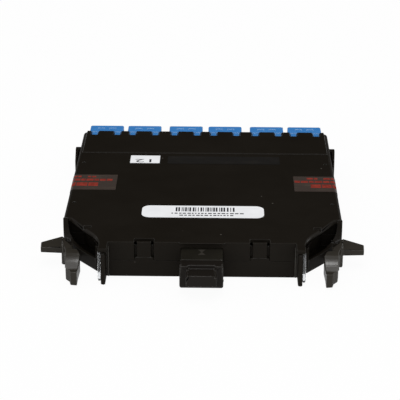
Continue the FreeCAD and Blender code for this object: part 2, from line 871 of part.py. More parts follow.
def build_lever(label, side):
    """One latch lever: hub on its pivot, arm, stop wing, web and finger pad."""
    lever = Piece(label)
    pivot = (side * sizes["pivot_x"], -sizes["pivot_y"])
    low, high = sizes["lever_low"], sizes["lever_high"]
    hub_low, hub_high = sizes["hub_low"], sizes["hub_high"]

    def placed(points):
        return outline([(side * Size.of(x), y) for x, y in points])

    lever.add("XY", [circle(pivot, sizes["hub_radius"])], hub_low, hub_high)
    neck = [
        (44.6, -41.6),
        (48.2, -41.6),
        (48.1, -44.5),
        (47.6, -47.2),
        (46.5, -51.0),
        (46.0, -54.5),
        (43.8, -54.5),
        (44.2, -50.0),
        (44.4, -45.5),
    ]
    lever.add("XY", [placed(neck)], hub_low, hub_high)
    arm = [
        (48.2, -41.8),
        (48.1, -44.5),
        (47.6, -47.2),
        (46.5, -51.0),
        (46.0, -54.5),
        (43.8, -54.5),
        (44.2, -50.0),
        (45.1, -46.6),
        (46.8, -43.6),
    ]
    lever.add("XY", [placed(arm)], hub_high, high)
    web = [
        (44.7, -44.6),
        (48.1, -44.6),
        (47.6, -47.2),
        (46.5, -51.0),
        (46.0, -54.5),
        (43.8, -54.5),
        (44.2, -50.0),
    ]
    lever.add("XY", [placed(web)], low, hub_low)
    knuckle = circle((side * 46.95, -47.0), sizes["knuckle_radius"])
    lever.add("XY", [knuckle], 0.9, high - 0.1)
    wing = [
        (46.9, -39.8),
        (48.7, -37.4),
        (55.5, -42.6),
        (55.2, -47.2),
        (47.4, -47.2),
        (46.9, -43.4),
    ]
    lever.add("XY", [placed(wing)], 5.0, 7.0)
    pad = [
        (46.2, -53.0),
        (45.9, -57.0),
        (45.5, -60.2),
        (44.1, -62.2),
        (43.6, -64.6),
        (41.4, -65.0),
        (41.4, -60.0),
        (41.2, -54.0),
        (42.4, -50.5),
        (44.4, -50.0),
    ]
    lever.add("XY", [placed(pad)], 0.9, high)
    bore = circle(pivot, sizes["pivot_radius"] + sizes["running_gap"])
    lever.cut("XY", [bore], hub_low - 1, high + 1)
    head_room = facet_ring(pivot, sizes["pivot_radius"] + sizes["pivot_head"] + 0.4, 12)
    lever.cut("XY", [head_room], hub_high, high + 1)
    scoop_near, scoop_far = (40.0, 46.6) if side > 0 else (-46.6, -40.0)
    scoop_centre, scoop_radius = (-55.6, 12.2), 5.2
    lever.cut("YZ", [circle(scoop_centre, scoop_radius)], scoop_near, scoop_far)


def build_lever_springs():
    """The two close-wound torsion springs on the pivot pins, under the lever hubs."""
    wire = sizes["spring_wire"]
    inner = sizes["pivot_radius"] + 0.06
    turns = 4
    springs = Piece("lever_springs")
    for side in (-1, 1):
        pivot = (side * sizes["pivot_x"], -sizes["pivot_y"])
        for turn in range(turns):
            start = sizes["lug_high"] + wire * turn
            outer = inner + wire + (0.0 if turn % 2 else 0.03)
            rings = [facet_ring(pivot, outer, 12), facet_ring(pivot, inner, 12)]
            springs.add("XY", rings, start, start + wire)


def build_stickers():
    """The labels and tapes that lie on the housing, as thin films."""
    top = sizes["height"]
    over = top + sizes["film"]
    barcode = Piece("barcode_label")
    barcode.add("XY", [rectangle(-21.4, 21.4, -33.5, -22.7)], top, over)
    barcode.round_edges(is_upright, 3.0)
    port = Piece("port_label")
    port.add("XY", [rectangle(-28.2, -17.0, 19.8, 27.8)], top, over)
    clear = Piece("clear_strip")
    clear.add("XY", [rectangle(-14.0, 28.5, 19.3, 27.4)], top, over)
    for label, side, inner in (("seal_tape_left", -1, 32.0), ("seal_tape_right", 1, 33.0)):
        tape = Piece(label)
        film = sizes["film"]
        section = [
            (inner, top),
            (inner, over),
            (half_width + film, over),
            (half_width + film, 2.5),
            (half_width, 2.5),
            (half_width, top),
        ]
        tape.add("XZ", [outline([(side * Size.of(x), z) for x, z in section])], -8.0, 7.0)
        tape.round_edges(
            lambda edge: lies_at(edge, x=half_width, z=top), sizes["edge_round"]
        )
        tape.round_edges(
            lambda edge: lies_at(edge, x=half_width + film, z=over), sizes["edge_round"] + film
        )


def check_document():
    """Stop if any object failed or any sub-part has no valid shape."""
    document.recompute()
    for item in document.Objects:
        if "Invalid" in item.State or "Error" in item.State:
            raise RuntimeError("%s failed: %s" % (item.Name, item.State))
    for item in sub_parts:
        if item.Shape.isNull() or not item.Shape.isValid():
            raise RuntimeError("%s has no valid shape" % item.Label)


def write_parts():
    """Write each sub-part to its own STEP file."""
    os.makedirs("parts", exist_ok=True)
    for item in sub_parts:
        item.Shape.exportStep("parts/%s.step" % item.Label)
    print(len(sub_parts), "sub-parts")


build_base()
build_cover()
for number, centre in enumerate(adapter_centres, start=1):
    build_adapter(number, centre)
    build_shutter(number, centre)
    build_sleeves(number, centre)
    for place, offset in enumerate((-sizes["port_pitch"] / 2, sizes["port_pitch"] / 2)):
        fibre = 2 * number - 1 + place
        lane = fibre - 6.5
        build_plug(fibre, centre + offset)
        build_tube(fibre, centre + offset, lane)
build_mpo_adapter()
build_mpo_cap()
build_mpo_plug()
build_lever("left_latch_lever", -1)
build_lever("right_latch_lever", 1)
build_lever_springs()
build_stickers()
check_document()
write_parts()
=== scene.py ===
"""Looks of a fibre cassette: black moulded housing, blue LC adapters, grey latch levers.

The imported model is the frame. Every piece is in metres, in the row frame: X right seen from the MPO end,
+Y to the LC end, +Z up, origin at the centre of the flat underside.
"""

import json
import logging
import math
from dataclasses import dataclass
from enum import Enum
from typing import Any, Sequence

import bmesh
import bpy
import numpy as np
from mathutils import Matrix, Vector

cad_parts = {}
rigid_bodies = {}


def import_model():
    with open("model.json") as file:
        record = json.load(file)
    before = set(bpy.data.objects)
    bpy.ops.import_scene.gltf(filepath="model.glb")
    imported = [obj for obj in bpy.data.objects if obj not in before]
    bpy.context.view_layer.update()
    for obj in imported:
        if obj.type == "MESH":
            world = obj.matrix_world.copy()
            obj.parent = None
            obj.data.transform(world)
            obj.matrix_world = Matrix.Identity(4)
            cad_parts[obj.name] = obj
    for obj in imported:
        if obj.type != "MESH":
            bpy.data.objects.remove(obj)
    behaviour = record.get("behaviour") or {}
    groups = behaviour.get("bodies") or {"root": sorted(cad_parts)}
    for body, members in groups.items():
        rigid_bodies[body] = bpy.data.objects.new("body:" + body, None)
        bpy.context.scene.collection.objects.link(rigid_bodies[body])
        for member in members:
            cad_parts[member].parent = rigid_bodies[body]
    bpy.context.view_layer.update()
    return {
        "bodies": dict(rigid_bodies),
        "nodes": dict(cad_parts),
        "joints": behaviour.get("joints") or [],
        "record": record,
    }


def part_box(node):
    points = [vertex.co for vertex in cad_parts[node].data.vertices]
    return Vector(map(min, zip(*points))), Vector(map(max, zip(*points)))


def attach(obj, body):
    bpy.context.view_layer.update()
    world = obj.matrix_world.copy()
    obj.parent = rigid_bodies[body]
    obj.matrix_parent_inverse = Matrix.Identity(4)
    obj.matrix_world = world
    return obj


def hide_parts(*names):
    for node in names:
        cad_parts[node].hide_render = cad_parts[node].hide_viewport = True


LOG = logging.getLogger("fibre_cassette")
MM = 0.001
WELD = 0.0005 * MM  # points closer than this are one point
UPWARD_Z = (0.8, 0.97)  # normal's Z where a face starts to count as looking up, and where it fully does
GRAZING = (0.35, 0.75)  # 1 minus the cosine of the view angle where gloss starts to fade, and where it ends
GRAZING_KEPT = 0.1  # share of the gloss that is left there
DUST_COLOUR = "8C8880"

Colour = tuple[float, float, float, float]


# ---------------------------------------------------------------- colours and nodes


def linear(code: str) -> Colour:
    """Turn an sRGB hex value into a linear colour.

    Each channel below 0.04045 is divided by 12.92, and any other is ((c + 0.055) / 1.055) to the power 2.4.

    Args:
        code: six hex digits.

    Returns:
        Red, green, blue and an alpha of 1.
    """
    parts = [int(code[at : at + 2], 16) / 255.0 for at in (0, 2, 4)]
    red, green, blue = (c / 12.92 if c <= 0.04045 else ((c + 0.055) / 1.055) ** 2.4 for c in parts)
    return (red, green, blue, 1.0)


def add_node(tree: bpy.types.NodeTree, kind: str, inputs: dict[Any, Any], **settings: Any) -> bpy.types.Node:
    """Add one shader node.

    Args:
        tree: the node tree.
        kind: the node's type name.
        inputs: for each input, by name or number, a value or the output socket that feeds it.
        settings: properties of the node itself.

    Returns:
        The new node.
    """
    node = tree.nodes.new(kind)
    for name, value in settings.items():
        setattr(node, name, value)
    for key, value in inputs.items():
        if isinstance(value, bpy.types.NodeSocket):
            tree.links.new(value, node.inputs[key])
        else:
            node.inputs[key].default_value = value
    return node


def new_tree(name: str) -> tuple[bpy.types.Material, bpy.types.NodeTree, bpy.types.NodeSocket]:
    """Start a material that reads Object coordinates.

    Args:
        name: the material's name.

    Returns:
        The material, its empty node tree and the Object coordinate socket.
    """
    material = bpy.data.materials.new(name)
    material.use_nodes = True
    tree = material.node_tree
    tree.nodes.clear()
    place = add_node(tree, "ShaderNodeTexCoord", {})
    return material, tree, place.outputs["Object"]


def close_tree(tree: bpy.types.NodeTree, shader: bpy.types.NodeSocket) -> None:
    """Lead a shader to the material's surface.

    Args:
        tree: the material's node tree.
        shader: the shader's output socket.
    """
    add_node(tree, "ShaderNodeOutputMaterial", {"Surface": shader})


def matt_top_gloss(tree: bpy.types.NodeTree, gloss: float, top_share: float) -> bpy.types.NodeSocket:
    """A specular level for a part whose upward faces are textured and whose walls are drawn smooth by the tool.

    The level goes from gloss to its top share over UPWARD_Z, so rounded edges stay glossy.

    Args:
        tree: the material's node tree.
        gloss: the level on walls.
        top_share: the part of it that is left on faces that look up.

    Returns:
        The level's socket.
    """
    face = add_node(tree, "ShaderNodeNewGeometry", {})
    axes = add_node(tree, "ShaderNodeSeparateXYZ", {"Vector": face.outputs["Normal"]})
    return add_node(
        tree,
        "ShaderNodeMapRange",
        {
            "Value": axes.outputs["Z"],
            "From Min": UPWARD_Z[0],
            "From Max": UPWARD_Z[1],
            "To Min": gloss,
            "To Max": gloss * top_share,
        },
    ).outputs["Result"]


def grazing_fade(tree: bpy.types.NodeTree, gloss: bpy.types.NodeSocket) -> bpy.types.NodeSocket:
    """Lower a specular level where the face is seen at a grazing angle.

    The tiny walls of a moulded texture shade each other at a low view, so gloss doesn't rise there. Facing is 1
    minus the cosine of the view angle, and the level falls to its kept share as it goes through GRAZING.

    Args:
        tree: the material's node tree.
        gloss: the level before it.

    Returns:
        The faded level's socket.
    """
    view = add_node(tree, "ShaderNodeLayerWeight", {"Blend": 0.5})
    kept = add_node(
        tree,
        "ShaderNodeMapRange",
        {
            "Value": view.outputs["Facing"],
            "From Min": GRAZING[0],
            "From Max": GRAZING[1],
            "To Min": 1.0,
            "To Max": GRAZING_KEPT,
        },
    )
    return add_node(tree, "ShaderNodeMath", {0: gloss, 1: kept.outputs["Result"]}, operation="MULTIPLY").outputs[0]


# ---------------------------------------------------------------- finishes


@dataclass(frozen=True)
class MouldedPlastic:
    """Injection-moulded plastic from a spark-eroded or polished tool.

    The tool's texture breaks the gloss into a soft sheen with a fine even grain, matt on the faces that look up.
    Handling polishes the edges to a higher gloss, and a paler colour is painted along them as a highlight. The colour
    drifts a little over the surface, and a few specks of dust lie on it. Lengths are in millimetres, and colours are
    sRGB hex values.

    Attributes:
        name: the material's name.
        colour: the main colour.
        drift_colour: what it drifts to.
        roughness: the middle roughness.
        specular: the specular level on walls.
        grain_mm: size of the grain.
        grain_height_mm: its depth.
        top_gloss: share of the specular level that faces looking up keep.
        edge_highlight_colour: a paler colour painted along edges as a highlight, or nothing for a part without them.
        edge_mm: how far an edge's gloss and painted highlight reach.
        edge_specular: specular level on edges.
        edge_roughness: roughness on edges.
        edge_across: share of the gloss and painted highlight that edges running along X keep.
        rubbed_y_mm: the two Y places between which a finger has polished the top, or twice the same for none.
        rubbed_specular: specular level there.
        rubbed_fade_mm: how far the polish fades to each side of those places.
        drift_mm: size of the colour's drift.
        dust: how much dust covers where a speck lies.
        speck_mm: size of the cells that may hold a speck.
        clean_share: share of the cells without one.
    """

    name: str
    colour: str
    drift_colour: str
    roughness: float
    specular: float
    grain_mm: float
    grain_height_mm: float
    top_gloss: float = 0.0
    edge_highlight_colour: str = ""
    edge_mm: float = 0.3
    edge_specular: float = 0.4
    edge_roughness: float = 0.25
    edge_across: float = 1.0
    rubbed_y_mm: tuple[float, float] = (0.0, 0.0)
    rubbed_specular: float = 0.6
    rubbed_fade_mm: float = 0.8
    drift_mm: float = 22.0
    dust: float = 0.0
    speck_mm: float = 3.2
    clean_share: float = 0.86

    def mixed(
        self, tree: bpy.types.NodeTree, share: Any, first: Any, second: Any
    ) -> bpy.types.NodeSocket:
        """Mix two colours by a share that is 0 for the first and 1 for the second.

        Args:
            tree: the material's node tree.
            share: the share, a number or a socket.
            first: the colour at 0.
            second: the colour at 1.

        Returns:
            The mixed colour's socket.
        """
        inputs = {0: share, 6: first, 7: second}
        return add_node(tree, "ShaderNodeMix", inputs, data_type="RGBA").outputs[2]

    def dust_share(self, tree: bpy.types.NodeTree, place: bpy.types.NodeSocket) -> bpy.types.NodeSocket:
        """How much of each point is covered by dust: the cores of a few cells of a Voronoi texture.

        Args:
            tree: the material's node tree.
            place: the socket of object coordinates.

        Returns:
            The share's socket.
        """
        cells = add_node(tree, "ShaderNodeTexVoronoi", {"Vector": place, "Scale": 1.0 / (self.speck_mm * MM)})
        core = add_node(
            tree,
            "ShaderNodeMapRange",
            {"Value": cells.outputs["Distance"], "From Min": 0.03, "From Max": 0.10, "To Min": 1.0, "To Max": 0.0},
        )
        chosen = add_node(
            tree, "ShaderNodeMath", {0: cells.outputs["Color"], 1: self.clean_share}, operation="GREATER_THAN"
        )
        speck = add_node(
            tree, "ShaderNodeMath", {0: core.outputs["Result"], 1: chosen.outputs[0]}, operation="MULTIPLY"
        )
        return add_node(tree, "ShaderNodeMath", {0: speck.outputs[0], 1: self.dust}, operation="MULTIPLY").outputs[0]

    def edge_share(self, tree: bpy.types.NodeTree) -> bpy.types.NodeSocket:
        """How near each point is to an edge, from how far the rounded normal leans off the face's own.

        Edges that run across the part, so that their normal has no X, keep only a share of it.

        Args:
            tree: the material's node tree.

        Returns:
            The share's socket.
        """
        rounded = add_node(tree, "ShaderNodeBevel", {"Radius": self.edge_mm * MM}, samples=6)
        flat = add_node(tree, "ShaderNodeNewGeometry", {})
        match = add_node(
            tree,
            "ShaderNodeVectorMath",
            {0: rounded.outputs["Normal"], 1: flat.outputs["True Normal"]},
            operation="DOT_PRODUCT",
        )
        near = add_node(
            tree,
            "ShaderNodeMapRange",
            {"Value": match.outputs["Value"], "From Min": 0.98, "From Max": 0.8, "To Min": 0.0, "To Max": 1.0},
        )
        axes = add_node(tree, "ShaderNodeSeparateXYZ", {"Vector": rounded.outputs["Normal"]})
        aside = add_node(tree, "ShaderNodeMath", {0: axes.outputs["X"]}, operation="ABSOLUTE")
        kept = add_node(
            tree,
            "ShaderNodeMapRange",
            {"Value": aside.outputs[0], "From Min": 0.1, "From Max": 0.35, "To Min": self.edge_across, "To Max": 1.0},
        )
        return add_node(
            tree, "ShaderNodeMath", {0: near.outputs["Result"], 1: kept.outputs["Result"]}, operation="MULTIPLY"
        ).outputs[0]

    def rubbed_share(self, tree: bpy.types.NodeTree, place: bpy.types.NodeSocket) -> bpy.types.NodeSocket:
        """How far a finger has polished each point: faces that look up, between two places along Y.

        Args:
            tree: the material's node tree.
            place: the socket of object coordinates.

        Returns:
            The share's socket.
        """
        spot = add_node(tree, "ShaderNodeSeparateXYZ", {"Vector": place})
        face = add_node(tree, "ShaderNodeNewGeometry", {})
        looks = add_node(tree, "ShaderNodeSeparateXYZ", {"Vector": face.outputs["Normal"]})
        low, high = self.rubbed_y_mm
        share = add_node(
            tree, "ShaderNodeMapRange", {"Value": looks.outputs["Z"], "From Min": 0.5, "From Max": 0.75}
        ).outputs["Result"]
        fade = self.rubbed_fade_mm
        for start, stop in ((low - fade, low + fade), (high + fade, high - fade)):
            part = add_node(
                tree,
                "ShaderNodeMapRange",
                {"Value": spot.outputs["Y"], "From Min": start * MM, "From Max": stop * MM},
            )
            share = add_node(
                tree, "ShaderNodeMath", {0: share, 1: part.outputs["Result"]}, operation="MULTIPLY"
            ).outputs[0]
        return share

    def build(self) -> bpy.types.Material:
        """Make the material.

        Colour is the main one mixed with the drift one by a slow noise, then with the edge one, a painted highlight,
        and with dust.
        Height is a fine noise, drawn coarser than the real 0.03 mm texture so that it shows.

        Returns:
            The material.
        """
        material, tree, place = new_tree(self.name)
        slow = add_node(
            tree,
            "ShaderNodeTexNoise",
            {"Vector": place, "Scale": 1.0 / (self.drift_mm * MM), "Detail": 3.0, "Roughness": 0.6},
        )
        patchy = add_node(
            tree,
            "ShaderNodeMapRange",
            {"Value": slow.outputs["Fac"], "From Min": 0.35, "From Max": 0.65},
        )
        colour = self.mixed(tree, patchy.outputs["Result"], linear(self.colour), linear(self.drift_colour))
        gloss = matt_top_gloss(tree, self.specular, self.top_gloss)
        rough = add_node(
            tree,
            "ShaderNodeMapRange",
            {
                "Value": slow.outputs["Fac"],
                "From Min": 0.3,
                "From Max": 0.7,
                "To Min": self.roughness - 0.05,
                "To Max": self.roughness + 0.05,
            },
        ).outputs["Result"]
        if self.rubbed_y_mm[0] < self.rubbed_y_mm[1]:
            gloss = add_node(
                tree,
                "ShaderNodeMapRange",
                {"Value": self.rubbed_share(tree, place), "To Min": gloss, "To Max": self.rubbed_specular},
            ).outputs["Result"]
        if self.edge_highlight_colour:
            edge = self.edge_share(tree)
            # a paler colour along the edges: a painted highlight
            colour = self.mixed(tree, edge, colour, linear(self.edge_highlight_colour))
            gloss = add_node(
                tree, "ShaderNodeMapRange", {"Value": edge, "To Min": gloss, "To Max": self.edge_specular}
            ).outputs["Result"]
            rough = add_node(
                tree, "ShaderNodeMapRange", {"Value": edge, "To Min": rough, "To Max": self.edge_roughness}
            ).outputs["Result"]
        if self.dust > 0.0:
            colour = self.mixed(tree, self.dust_share(tree, place), colour, linear(DUST_COLOUR))
        grain = add_node(
            tree,
            "ShaderNodeTexNoise",
            {"Vector": place, "Scale": 1.0 / (self.grain_mm * MM), "Detail": 2.0, "Roughness": 0.55},
        )
        bump = add_node(
            tree,
            "ShaderNodeBump",
            {"Height": grain.outputs["Fac"], "Strength": 1.0, "Distance": self.grain_height_mm * MM},
        )
        shader = add_node(
            tree,
            "ShaderNodeBsdfPrincipled",
            {
                "Base Color": colour,
                "Roughness": rough,
                "Specular IOR Level": grazing_fade(tree, gloss),
                "Normal": bump.outputs["Normal"],
            },
        )
        close_tree(tree, shader.outputs[0])
        return material


@dataclass(frozen=True)
class ClearMoulding:
    """See-through moulded plastic, tinted or clear: it lets soft light through and keeps a gloss.

    Attributes:
        name: the material's name.
        colour: its tint.
        roughness: its roughness.
        through: share of the light that goes through.
        ior: its index of refraction.
        ripple_mm: depth of the faint ripple in its surface.
    """

    name: str
    colour: str
    roughness: float = 0.25
    through: float = 0.45
    ior: float = 1.58
    ripple_mm: float = 0.01

    def build(self) -> bpy.types.Material:
        """Make the material.

        Returns:
            The material.
        """
        material, tree, place = new_tree(self.name)
        ripple = add_node(tree, "ShaderNodeTexNoise", {"Vector": place, "Scale": 1.0 / (1.5 * MM)})
        bump = add_node(
            tree,
            "ShaderNodeBump",
            {"Height": ripple.outputs["Fac"], "Strength": 1.0, "Distance": self.ripple_mm * MM},
        )
        shader = add_node(
            tree,
            "ShaderNodeBsdfPrincipled",
            {
                "Base Color": linear(self.colour),
                "Roughness": self.roughness,
                "Transmission Weight": self.through,
                "IOR": self.ior,
                "Normal": bump.outputs["Normal"],
            },
        )
        close_tree(tree, shader.outputs[0])
        return material


@dataclass(frozen=True)
class FilmTape:
    """Thin pressure-sensitive film: flat colour with long shallow wrinkles that are rubbed paler.

    Attributes:
        name: the material's name.
        colour: the main colour.
        rubbed: the colour of the wrinkles.
        roughness: its roughness.
        specular: the specular level on walls.
    """

    name: str
    colour: str
    rubbed: str
    roughness: float
    specular: float

    def build(self) -> bpy.types.Material:
        """Make the material.

        The rubbed colour comes in where a stretched noise is high, as long shallow wrinkles.

        Returns:
            The material.
        """
        material, tree, place = new_tree(self.name)
        stretched = add_node(tree, "ShaderNodeMapping", {"Vector": place, "Scale": (0.35, 1.0, 1.0)})
        wrinkle = add_node(
            tree,
            "ShaderNodeTexNoise",
            {"Vector": stretched.outputs[0], "Scale": 1.0 / (2.5 * MM), "Detail": 4.0},
        )
        pale = add_node(
            tree,
            "ShaderNodeMapRange",
            {"Value": wrinkle.outputs["Fac"], "From Min": 0.52, "From Max": 0.75},
        )
        colour = add_node(
            tree,
            "ShaderNodeMix",
            {0: pale.outputs["Result"], 6: linear(self.colour), 7: linear(self.rubbed)},
            data_type="RGBA",
        )
        bump = add_node(
            tree, "ShaderNodeBump", {"Height": wrinkle.outputs["Fac"], "Strength": 1.0, "Distance": 0.02 * MM}
        )
        shader = add_node(
            tree,
            "ShaderNodeBsdfPrincipled",
            {
                "Base Color": colour.outputs[2],
                "Roughness": self.roughness,
                "Specular IOR Level": matt_top_gloss(tree, self.specular, 0.1),
                "Normal": bump.outputs["Normal"],
            },
        )
        close_tree(tree, shader.outputs[0])
        return material


@dataclass(frozen=True)
class DrawnSteel:
    """Cold-drawn spring wire: bright metal with a fine uneven sheen.

    Attributes:
        name: the material's name.
        colour: its colour.
        roughness: the middle roughness.
    """

    name: str = "drawn_spring_steel"
    colour: str = "B9B7B2"
    roughness: float = 0.32

    def build(self) -> bpy.types.Material:
        """Make the material.

        Returns:
            The material.
        """
        material, tree, place = new_tree(self.name)
        lines = add_node(tree, "ShaderNodeTexNoise", {"Vector": place, "Scale": 1.0 / (0.2 * MM), "Detail": 3.0})
        rough = add_node(
            tree,
            "ShaderNodeMapRange",
            {"Value": lines.outputs["Fac"], "To Min": self.roughness - 0.1, "To Max": self.roughness + 0.1},
        )
        shader = add_node(
            tree,
            "ShaderNodeBsdfPrincipled",
            {"Base Color": linear(self.colour), "Metallic": 1.0, "Roughness": rough.outputs["Result"]},
        )
        close_tree(tree, shader.outputs[0])
        return material


class Stock(Enum):
    """The finishes of the cassette, by the material that each one is."""

    # The paler edge colour of each finish is a painted highlight along its edges.
    HOUSING = MouldedPlastic(
        "spark_eroded_black_abs",
        "1A1713",
        "1D1A16",
        0.4,
        0.04,
        0.3,
        0.012,
        edge_highlight_colour="1E1B17",
        edge_mm=0.22,
        edge_specular=0.7,
        edge_across=0.2,
        dust=0.5,
    )
    CAP = MouldedPlastic(
        "satin_black_cap", "181512", "1C1916", 0.26, 0.08, 0.3, 0.008, edge_highlight_colour="34302B", edge_specular=0.6
    )
    MPO = MouldedPlastic("satin_black_mpo_adapter", "1B1915", "211F1A", 0.32, 0.08, 0.3, 0.008, edge_highlight_colour="3E3B35")
    # A paler colour that stands for a glint: a painted highlight on the hourglass on the MPO adapter and on the
    # corner beads.
    MARK = MouldedPlastic("pale_painted_glint", "2E2B27", "3A3732", 0.25, 0.2, 0.3, 0.004)
    LEVER = MouldedPlastic(
        "dark_grey_acetal",
        "2B2823",
        "322F2A",
        0.24,
        0.1,
        0.35,
        0.006,
        edge_highlight_colour="403D37",
        edge_mm=0.35,
        edge_specular=0.6,
        edge_roughness=0.2,
        rubbed_y_mm=(-60.6, -55.6),
    )
    ADAPTER = MouldedPlastic(
        "satin_blue_pbt", "3A79BA", "427FBF", 0.36, 0.15, 0.4, 0.008, edge_highlight_colour="8FB8DE", edge_mm=0.4, drift_mm=5.0
    )
    PLUG = MouldedPlastic("satin_blue_plug", "2A6BB0", "2F74BA", 0.35, 0.3, 0.4, 0.006)
    SHUTTER = ClearMoulding("pale_blue_polycarbonate", "8FB6DC")
    BUMPER = ClearMoulding("clear_polyurethane_bumper", "EEF0F2", 0.12, 0.9, 1.35, 0.002)
    CERAMIC = MouldedPlastic("ground_zirconia", "EDEAE0", "F4F2EA", 0.22, 0.6, 0.15, 0.002)
    FERRULE = MouldedPlastic("glass_filled_grey", "3C3C3E", "464649", 0.5, 0.3, 0.2, 0.006)
    BOOT = MouldedPlastic("soft_black_boot", "161616", "1C1C1C", 0.72, 0.15, 0.4, 0.02)
    TUBE = MouldedPlastic("yellow_buffer_tube", "D8B62C", "E2C03A", 0.45, 0.3, 0.4, 0.005)
    FANOUT = MouldedPlastic("moulded_black_fanout", "1D1D1D", "242424", 0.5, 0.2, 0.3, 0.01)
    STEEL = DrawnSteel()
    PAPER = MouldedPlastic("matt_white_label_paper", "E9EAEC", "F0F1F3", 0.75, 0.1, 0.35, 0.004, drift_mm=6.0)
    SEAL = FilmTape("smoked_seal_film", "352C27", "40372F", 0.45, 0.08)
    CLEAR = FilmTape("clear_film_over_black", "12100E", "1A1714", 0.35, 0.03)
    INK_BLACK = MouldedPlastic("black_label_ink", "26262A", "3C3C40", 0.6, 0.1, 0.3, 0.001, drift_mm=0.8)
    INK_RED = MouldedPlastic("red_tape_ink", "702C26", "8E382D", 0.6, 0.05, 0.3, 0.002, drift_mm=1.5)

    def material(self) -> bpy.types.Material:
        """Build the material, or find it where it is built already.

        Returns:
            The material.
        """
        known = bpy.data.materials.get(self.value.name)
        return known if known is not None else self.value.build()


# ---------------------------------------------------------------- shapes


def close_shape(mesh: bpy.types.Mesh, smooth: bool) -> None:
    """Weld a mesh's points, fill its open ends and turn its faces outwards.

    Args:
        mesh: the mesh, changed in place.
        smooth: whether its faces are shaded as one curved surface.
    """
    shape = bmesh.new()
    shape.from_mesh(mesh)
    bmesh.ops.remove_doubles(shape, verts=shape.verts, dist=WELD)
    bmesh.ops.holes_fill(shape, edges=shape.edges)
    bmesh.ops.recalc_face_normals(shape, faces=shape.faces)
    for face in shape.faces:
        face.smooth = smooth
    shape.to_mesh(mesh)
    shape.free()


def lay_piece(name: str, mesh: bpy.types.Mesh, stock: Stock, body: str) -> bpy.types.Object:
    """Put a finished mesh into the scene as a piece.

    Args:
        name: the piece's name.
        mesh: its mesh, already in the row frame.
        stock: its finish.
        body: the CAD body that carries it.

    Returns:
        The piece.
    """
    piece = bpy.data.objects.new(name, mesh)
    bpy.context.scene.collection.objects.link(piece)
    mesh.materials.clear()
    mesh.materials.append(stock.material())
    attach(piece, body)
    LOG.info("%s: %d faces on %s", name, len(mesh.polygons), body)
    return piece


def join_grids(name: str, grids: Sequence[np.ndarray]) -> bpy.types.Mesh:
    """One mesh from several grids of points.

    Point (i, j) of a grid is joined to (i + 1, j), (i + 1, j + 1) and (i, j + 1) as a four-sided face.

    Args:
        name: the mesh's name.
        grids: arrays of shape (rows, columns, 3), in metres.

    Returns:
        The mesh.
    """
    points, faces, start = [], [], 0
    for grid in grids:
        rows, columns = grid.shape[:2]
        index = np.arange(rows * columns).reshape(rows, columns) + start
        quads = np.stack([index[:-1, :-1], index[1:, :-1], index[1:, 1:], index[:-1, 1:]], axis=-1)
        points.append(grid.reshape(-1, 3))
        faces.append(quads.reshape(-1, 4))
        start += rows * columns
    mesh = bpy.data.meshes.new(name)
    mesh.from_pydata(np.concatenate(points).tolist(), [], np.concatenate(faces).tolist())
    mesh.update()
    return mesh


